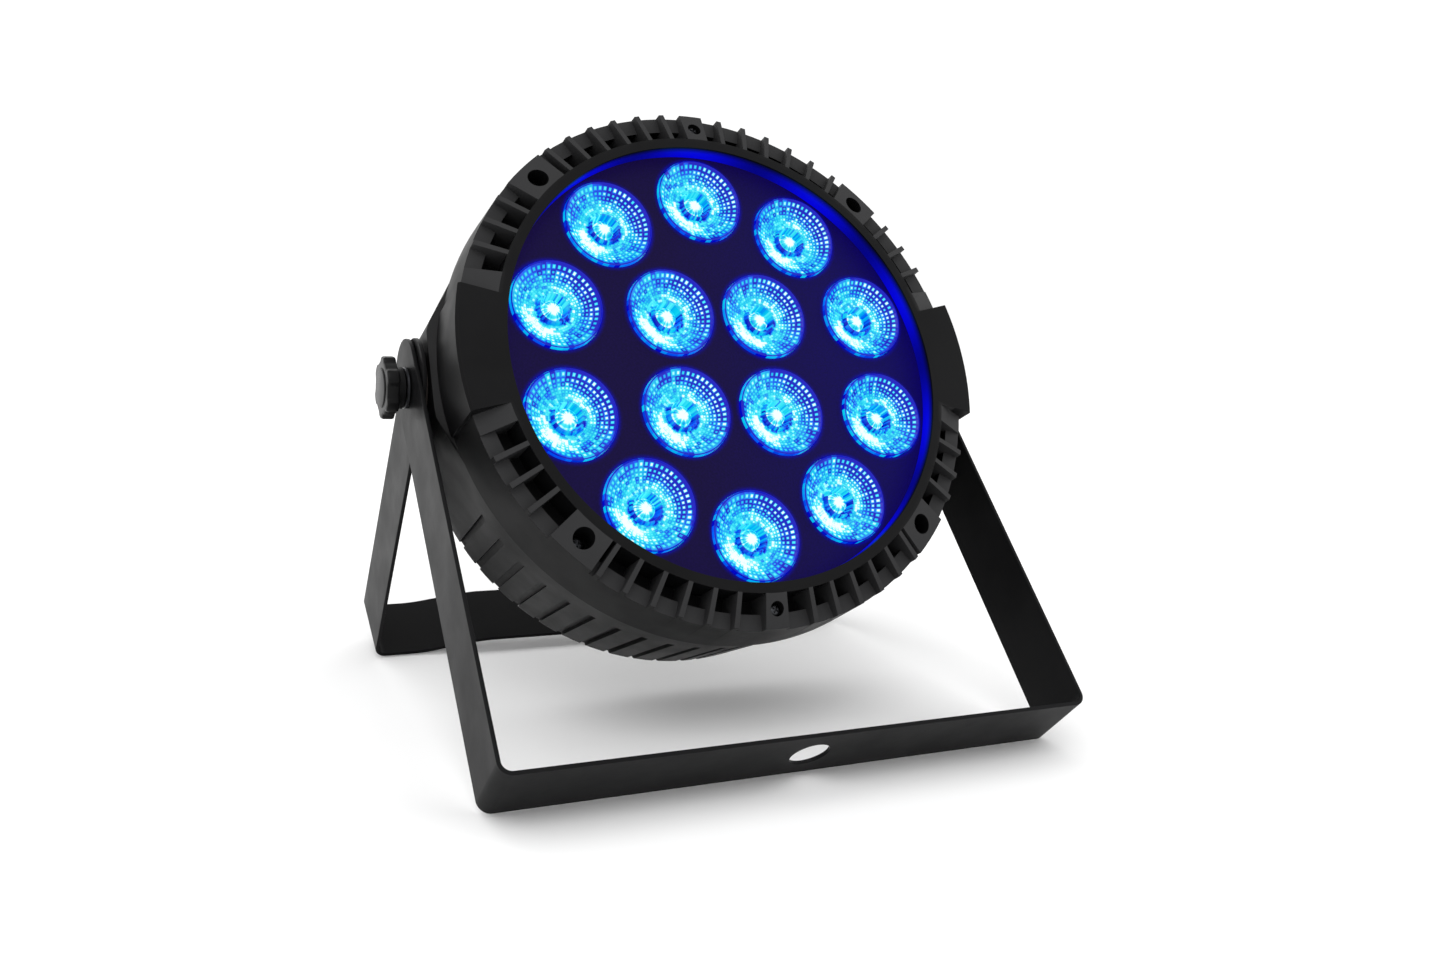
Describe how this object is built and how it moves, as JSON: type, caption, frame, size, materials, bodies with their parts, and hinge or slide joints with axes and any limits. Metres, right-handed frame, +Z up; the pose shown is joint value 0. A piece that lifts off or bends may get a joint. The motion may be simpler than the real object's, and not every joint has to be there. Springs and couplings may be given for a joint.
{
  "type": "par can light",
  "caption": "Round flat par can light with lit blue lenses in a ribbed bezel, hung between two strip brackets that spread into a floor stand, with clamp knobs, rear sockets, menu and fan.",
  "frame": {"origin": "middle of the bounding box's footprint, on the floor the brackets stand on", "axes": "+X to the right along the pivot, lenses facing -Y and tilted up, +Z up"},
  "size_m": [0.2558, 0.2228, 0.2375],
  "materials": {
    "bezel_plastic": "spark-textured black moulding",
    "housing_plastic": "smooth matt black moulding",
    "cover_plastic": "fine-textured black moulding",
    "lens": "clear moulded acrylic lit blue from behind",
    "lens_plate": "matt black plate washed dark blue by the lit lenses",
    "led_board": "white solder mask",
    "heat_sink": "extruded, as cut",
    "circuit_board": "green solder mask",
    "fan_plastic": "satin black moulding",
    "window": "smoked clear window",
    "button": "satin black moulding",
    "socket_plastic": "gloss black moulding",
    "socket_metal": "satin nickel plate",
    "black_steel": "black zinc plate",
    "screw_black": "black oxide",
    "screw_steel": "bright zinc plate",
    "brass_insert": "turned",
    "friction_fibre": "pressed fibre",
    "washer_steel": "bright zinc plate",
    "knob_plastic": "satin black moulding",
    "bracket_paint": "satin black powder coat"
  },
  "bodies": {
    "front_bracket": {"front_bracket": "bracket_paint"},
    "rear_bracket": {"rear_bracket": "bracket_paint"},
    "head": {"front_bezel": "bezel_plastic", "lens_plate": "lens_plate", "lens_01": "lens", "lens_02": "lens", "lens_03": "lens", "lens_04": "lens", "lens_05": "lens", "lens_06": "lens", "lens_07": "lens", "lens_08": "lens", "lens_09": "lens", "lens_10": "lens", "lens_11": "lens", "lens_12": "lens", "lens_13": "lens", "lens_14": "lens", "led_board": "led_board", "heat_sink": "heat_sink", "power_board": "circuit_board", "control_board": "circuit_board", "fan_frame": "fan_plastic", "rear_housing": "housing_plastic", "rear_cover": "cover_plastic", "display_window": "window", "power_inlet": "socket_plastic", "fuse_holder": "socket_plastic", "signal_in_socket": "socket_metal", "signal_out_socket": "socket_metal", "safety_eye": "black_steel", "bezel_screw_1": "screw_black", "bezel_screw_2": "screw_black", "bezel_screw_3": "screw_black", "bezel_screw_4": "screw_black", "tab_screw_1": "screw_steel", "tab_screw_2": "screw_steel", "cover_screw_1": "screw_black", "cover_screw_2": "screw_black", "cover_screw_3": "screw_black", "cover_screw_4": "screw_black", "pivot_insert_left": "brass_insert", "friction_washer_left": "friction_fibre", "clamp_washer_left": "washer_steel", "pivot_insert_right": "brass_insert", "friction_washer_right": "friction_fibre", "clamp_washer_right": "washer_steel"},
    "fan_rotor": {"fan_rotor": "fan_plastic"},
    "knob_left": {"clamp_knob_left": "knob_plastic"},
    "knob_right": {"clamp_knob_right": "knob_plastic"},
    "button_1": {"menu_button_1": "button"},
    "button_2": {"menu_button_2": "button"},
    "button_3": {"menu_button_3": "button"},
    "button_4": {"menu_button_4": "button"}
  },
  "joints": [
    {"name": "head_tilt", "type": "hinge", "parent": "front_bracket", "child": "head", "pos_m": [0, 0.02137, 0.12451], "axis": [1, 0, 0], "range_deg": [-60, 120]},
    {"name": "rear_spread", "type": "hinge", "parent": "front_bracket", "child": "rear_bracket", "pos_m": [0, 0.02137, 0.12451], "axis": [1, 0, 0], "range_deg": [-76, 103]},
    {"name": "knob_left_turn", "type": "hinge", "parent": "head", "child": "knob_left", "pos_m": [-0.1235, 0.02137, 0.12451], "axis": [-1, 0, 0], "range_deg": [0, 540]},
    {"name": "knob_right_turn", "type": "hinge", "parent": "head", "child": "knob_right", "pos_m": [0.1235, 0.02137, 0.12451], "axis": [1, 0, 0], "range_deg": [0, 540]},
    {"name": "fan_spin", "type": "hinge", "parent": "head", "child": "fan_rotor", "pos_m": [0, 0.04752, 0.09662], "axis": [0, 0.8704, -0.4924], "continuous": true},
    {"name": "button_1_press", "type": "slide", "parent": "head", "child": "button_1", "axis": [0, -0.8704, 0.4924], "range_m": [0, 0.0008], "stiffness_N_per_m": 600, "springref_m": -0.0008},
    {"name": "button_2_press", "type": "slide", "parent": "head", "child": "button_2", "axis": [0, -0.8704, 0.4924], "range_m": [0, 0.0008], "stiffness_N_per_m": 600, "springref_m": -0.0008},
    {"name": "button_3_press", "type": "slide", "parent": "head", "child": "button_3", "axis": [0, -0.8704, 0.4924], "range_m": [0, 0.0008], "stiffness_N_per_m": 600, "springref_m": -0.0008},
    {"name": "button_4_press", "type": "slide", "parent": "head", "child": "button_4", "axis": [0, -0.8704, 0.4924], "range_m": [0, 0.0008], "stiffness_N_per_m": 600, "springref_m": -0.0008}
  ]
}
